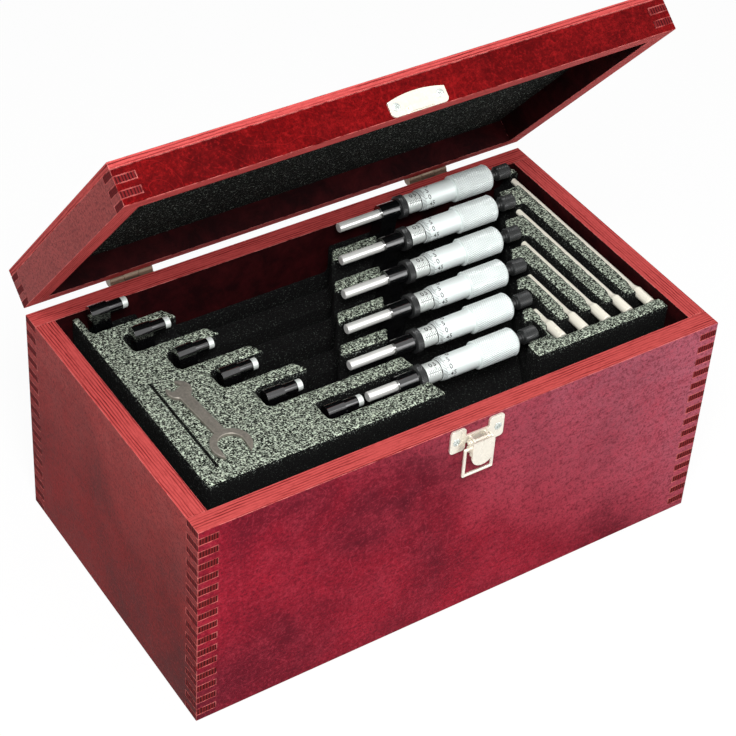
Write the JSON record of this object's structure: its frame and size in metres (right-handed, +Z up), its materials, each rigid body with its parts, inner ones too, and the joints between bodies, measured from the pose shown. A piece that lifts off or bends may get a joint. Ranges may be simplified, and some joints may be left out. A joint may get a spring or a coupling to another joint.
{
  "type": "micrometer case",
  "caption": "Stained plywood case with a hinged lid, a draw latch and a fitted foam tray that holds graded outside micrometers, length standards and a spanner.",
  "frame": {"origin": "middle of the underside of the case", "axes": "+X along the front to the right, +Y to the back, +Z up"},
  "size_m": [0.31, 0.2039, 0.2867],
  "materials": {
    "stained_plywood": "satin stain",
    "bottom_panel": "plain",
    "foam": "speckled soft foam",
    "plated_steel": "bright nickel plate",
    "screw_steel": "plated",
    "black_enamel": "gloss",
    "satin_chrome": "satin chrome",
    "ground_steel": "ground bright",
    "black_steel": "blackened, knurled",
    "tool_steel": "dull"
  },
  "bodies": {
    "base": {"base_front": "stained_plywood", "base_back": "stained_plywood", "base_left": "stained_plywood", "base_right": "stained_plywood", "base_floor": "bottom_panel", "foam_base": "foam", "foam_tray": "foam", "hinge_leaves_base": "plated_steel", "hinge_pins": "screw_steel", "latch_plate": "plated_steel", "base_screws": "screw_steel"},
    "lid": {"lid_front": "stained_plywood", "lid_back": "stained_plywood", "lid_left": "stained_plywood", "lid_right": "stained_plywood", "lid_top": "stained_plywood", "lid_pad": "foam", "hinge_leaves_lid": "plated_steel", "keeper_plate": "plated_steel", "lid_screws": "screw_steel"},
    "lever": {"latch_lever": "plated_steel"},
    "bail": {"latch_bail": "plated_steel"},
    "standards": {"length_standards": "ground_steel"},
    "spanner": {"adjusting_spanner": "tool_steel"},
    "mic_1": {"mic_1_frame": "black_enamel", "mic_1_sleeve_and_anvil": "satin_chrome"},
    "mic_1_lock": {"mic_1_lock_ring": "black_steel"},
    "mic_1_spindle": {"mic_1_spindle": "ground_steel"},
    "mic_1_thimble": {"mic_1_thimble": "satin_chrome"},
    "mic_1_ratchet": {"mic_1_ratchet": "black_steel"},
    "mic_2": {"mic_2_frame": "black_enamel", "mic_2_sleeve_and_anvil": "satin_chrome"},
    "mic_2_lock": {"mic_2_lock_ring": "black_steel"},
    "mic_2_spindle": {"mic_2_spindle": "ground_steel"},
    "mic_2_thimble": {"mic_2_thimble": "satin_chrome"},
    "mic_2_ratchet": {"mic_2_ratchet": "black_steel"},
    "mic_3": {"mic_3_frame": "black_enamel", "mic_3_sleeve_and_anvil": "satin_chrome"},
    "mic_3_lock": {"mic_3_lock_ring": "black_steel"},
    "mic_3_spindle": {"mic_3_spindle": "ground_steel"},
    "mic_3_thimble": {"mic_3_thimble": "satin_chrome"},
    "mic_3_ratchet": {"mic_3_ratchet": "black_steel"},
    "mic_4": {"mic_4_frame": "black_enamel", "mic_4_sleeve_and_anvil": "satin_chrome"},
    "mic_4_lock": {"mic_4_lock_ring": "black_steel"},
    "mic_4_spindle": {"mic_4_spindle": "ground_steel"},
    "mic_4_thimble": {"mic_4_thimble": "satin_chrome"},
    "mic_4_ratchet": {"mic_4_ratchet": "black_steel"},
    "mic_5": {"mic_5_frame": "black_enamel", "mic_5_sleeve_and_anvil": "satin_chrome"},
    "mic_5_lock": {"mic_5_lock_ring": "black_steel"},
    "mic_5_spindle": {"mic_5_spindle": "ground_steel"},
    "mic_5_thimble": {"mic_5_thimble": "satin_chrome"},
    "mic_5_ratchet": {"mic_5_ratchet": "black_steel"},
    "mic_6": {"mic_6_frame": "black_enamel", "mic_6_sleeve_and_anvil": "satin_chrome"},
    "mic_6_lock": {"mic_6_lock_ring": "black_steel"},
    "mic_6_spindle": {"mic_6_spindle": "ground_steel"},
    "mic_6_thimble": {"mic_6_thimble": "satin_chrome"},
    "mic_6_ratchet": {"mic_6_ratchet": "black_steel"}
  },
  "joints": [
    {"name": "lid_hinge", "type": "hinge", "parent": "base", "child": "lid", "pos_m": [0, 0.09325, 0.1315], "axis": [-1, 0, 0], "range_deg": [-51, 129]},
    {"name": "latch_lever_hinge", "type": "hinge", "parent": "base", "child": "lever", "pos_m": [0.0013, -0.09305, 0.122], "axis": [-1, 0, 0], "range_deg": [0, 75]},
    {"name": "bail_hinge", "type": "hinge", "parent": "lever", "child": "bail", "pos_m": [0.0013, -0.09305, 0.118], "axis": [-1, 0, 0], "range_deg": [0, 120]},
    {"name": "standards_lift", "type": "slide", "parent": "base", "child": "standards", "axis": [0, 0, 1], "range_m": [0, 0.03]},
    {"name": "spanner_lift", "type": "slide", "parent": "base", "child": "spanner", "axis": [0, 0, 1], "range_m": [0, 0.04]},
    {"name": "mic_1_lift", "type": "slide", "parent": "base", "child": "mic_1", "axis": [0, 0, 1], "range_m": [0, 0.034]},
    {"name": "mic_1_lock_turn", "type": "hinge", "parent": "mic_1", "child": "mic_1_lock", "pos_m": [0.0335, -0.044, 0.1265], "axis": [1, 0, 0], "range_deg": [0, 45]},
    {"name": "mic_1_spindle_travel", "type": "slide", "parent": "mic_1", "child": "mic_1_spindle", "axis": [1, 0, 0], "range_m": [-0.00325, 0.00245]},
    {"name": "mic_1_thimble_turn", "type": "hinge", "parent": "mic_1_spindle", "child": "mic_1_thimble", "pos_m": [0.0335, -0.044, 0.1265], "axis": [1, 0, 0], "range_deg": [-2376, 1800]},
    {"name": "mic_1_ratchet_turn", "type": "hinge", "parent": "mic_1_thimble", "child": "mic_1_ratchet", "pos_m": [0.0335, -0.044, 0.1265], "axis": [1, 0, 0], "continuous": true},
    {"name": "mic_2_lift", "type": "slide", "parent": "base", "child": "mic_2", "axis": [0, 0, 1], "range_m": [0, 0.049]},
    {"name": "mic_2_lock_turn", "type": "hinge", "parent": "mic_2", "child": "mic_2_lock", "pos_m": [0.0461, -0.0213, 0.1284], "axis": [1, 0, 0], "range_deg": [0, 45]},
    {"name": "mic_2_spindle_travel", "type": "slide", "parent": "mic_2", "child": "mic_2_spindle", "axis": [1, 0, 0], "range_m": [-0.00325, 0.00245]},
    {"name": "mic_2_thimble_turn", "type": "hinge", "parent": "mic_2_spindle", "child": "mic_2_thimble", "pos_m": [0.0461, -0.0213, 0.1284], "axis": [1, 0, 0], "range_deg": [-2376, 1800]},
    {"name": "mic_2_ratchet_turn", "type": "hinge", "parent": "mic_2_thimble", "child": "mic_2_ratchet", "pos_m": [0.0461, -0.0213, 0.1284], "axis": [1, 0, 0], "continuous": true},
    {"name": "mic_3_lift", "type": "slide", "parent": "base", "child": "mic_3", "axis": [0, 0, 1], "range_m": [0, 0.059]},
    {"name": "mic_3_lock_turn", "type": "hinge", "parent": "mic_3", "child": "mic_3_lock", "pos_m": [0.0587, 0.0014, 0.1303], "axis": [1, 0, 0], "range_deg": [0, 45]},
    {"name": "mic_3_spindle_travel", "type": "slide", "parent": "mic_3", "child": "mic_3_spindle", "axis": [1, 0, 0], "range_m": [-0.00325, 0.00245]},
    {"name": "mic_3_thimble_turn", "type": "hinge", "parent": "mic_3_spindle", "child": "mic_3_thimble", "pos_m": [0.0587, 0.0014, 0.1303], "axis": [1, 0, 0], "range_deg": [-2376, 1800]},
    {"name": "mic_3_ratchet_turn", "type": "hinge", "parent": "mic_3_thimble", "child": "mic_3_ratchet", "pos_m": [0.0587, 0.0014, 0.1303], "axis": [1, 0, 0], "continuous": true},
    {"name": "mic_4_lift", "type": "slide", "parent": "base", "child": "mic_4", "axis": [0, 0, 1], "range_m": [0, 0.069]},
    {"name": "mic_4_lock_turn", "type": "hinge", "parent": "mic_4", "child": "mic_4_lock", "pos_m": [0.0713, 0.0241, 0.1322], "axis": [1, 0, 0], "range_deg": [0, 45]},
    {"name": "mic_4_spindle_travel", "type": "slide", "parent": "mic_4", "child": "mic_4_spindle", "axis": [1, 0, 0], "range_m": [-0.00325, 0.00245]},
    {"name": "mic_4_thimble_turn", "type": "hinge", "parent": "mic_4_spindle", "child": "mic_4_thimble", "pos_m": [0.0713, 0.0241, 0.1322], "axis": [1, 0, 0], "range_deg": [-2376, 1800]},
    {"name": "mic_4_ratchet_turn", "type": "hinge", "parent": "mic_4_thimble", "child": "mic_4_ratchet", "pos_m": [0.0713, 0.0241, 0.1322], "axis": [1, 0, 0], "continuous": true},
    {"name": "mic_5_lift", "type": "slide", "parent": "base", "child": "mic_5", "axis": [0, 0, 1], "range_m": [0, 0.044]},
    {"name": "mic_5_lock_turn", "type": "hinge", "parent": "mic_5", "child": "mic_5_lock", "pos_m": [0.0839, 0.0468, 0.1341], "axis": [1, 0, 0], "range_deg": [0, 45]},
    {"name": "mic_5_spindle_travel", "type": "slide", "parent": "mic_5", "child": "mic_5_spindle", "axis": [1, 0, 0], "range_m": [-0.00325, 0.00245]},
    {"name": "mic_5_thimble_turn", "type": "hinge", "parent": "mic_5_spindle", "child": "mic_5_thimble", "pos_m": [0.0839, 0.0468, 0.1341], "axis": [1, 0, 0], "range_deg": [-2376, 1800]},
    {"name": "mic_5_ratchet_turn", "type": "hinge", "parent": "mic_5_thimble", "child": "mic_5_ratchet", "pos_m": [0.0839, 0.0468, 0.1341], "axis": [1, 0, 0], "continuous": true},
    {"name": "mic_6_lift", "type": "slide", "parent": "base", "child": "mic_6", "axis": [0, 0, 1], "range_m": [0, 0.017]},
    {"name": "mic_6_lock_turn", "type": "hinge", "parent": "mic_6", "child": "mic_6_lock", "pos_m": [0.0965, 0.0695, 0.136], "axis": [1, 0, 0], "range_deg": [0, 45]},
    {"name": "mic_6_spindle_travel", "type": "slide", "parent": "mic_6", "child": "mic_6_spindle", "axis": [1, 0, 0], "range_m": [-0.00325, 0.00245]},
    {"name": "mic_6_thimble_turn", "type": "hinge", "parent": "mic_6_spindle", "child": "mic_6_thimble", "pos_m": [0.0965, 0.0695, 0.136], "axis": [1, 0, 0], "range_deg": [-2376, 1800]},
    {"name": "mic_6_ratchet_turn", "type": "hinge", "parent": "mic_6_thimble", "child": "mic_6_ratchet", "pos_m": [0.0965, 0.0695, 0.136], "axis": [1, 0, 0], "continuous": true}
  ],
  "couplings": [
    {"joint": "mic_1_thimble_turn", "follows": "mic_1_spindle_travel", "rad_per_m": 12566},
    {"joint": "mic_2_thimble_turn", "follows": "mic_2_spindle_travel", "rad_per_m": 12566},
    {"joint": "mic_3_thimble_turn", "follows": "mic_3_spindle_travel", "rad_per_m": 12566},
    {"joint": "mic_4_thimble_turn", "follows": "mic_4_spindle_travel", "rad_per_m": 12566},
    {"joint": "mic_5_thimble_turn", "follows": "mic_5_spindle_travel", "rad_per_m": 12566},
    {"joint": "mic_6_thimble_turn", "follows": "mic_6_spindle_travel", "rad_per_m": 12566}
  ]
}
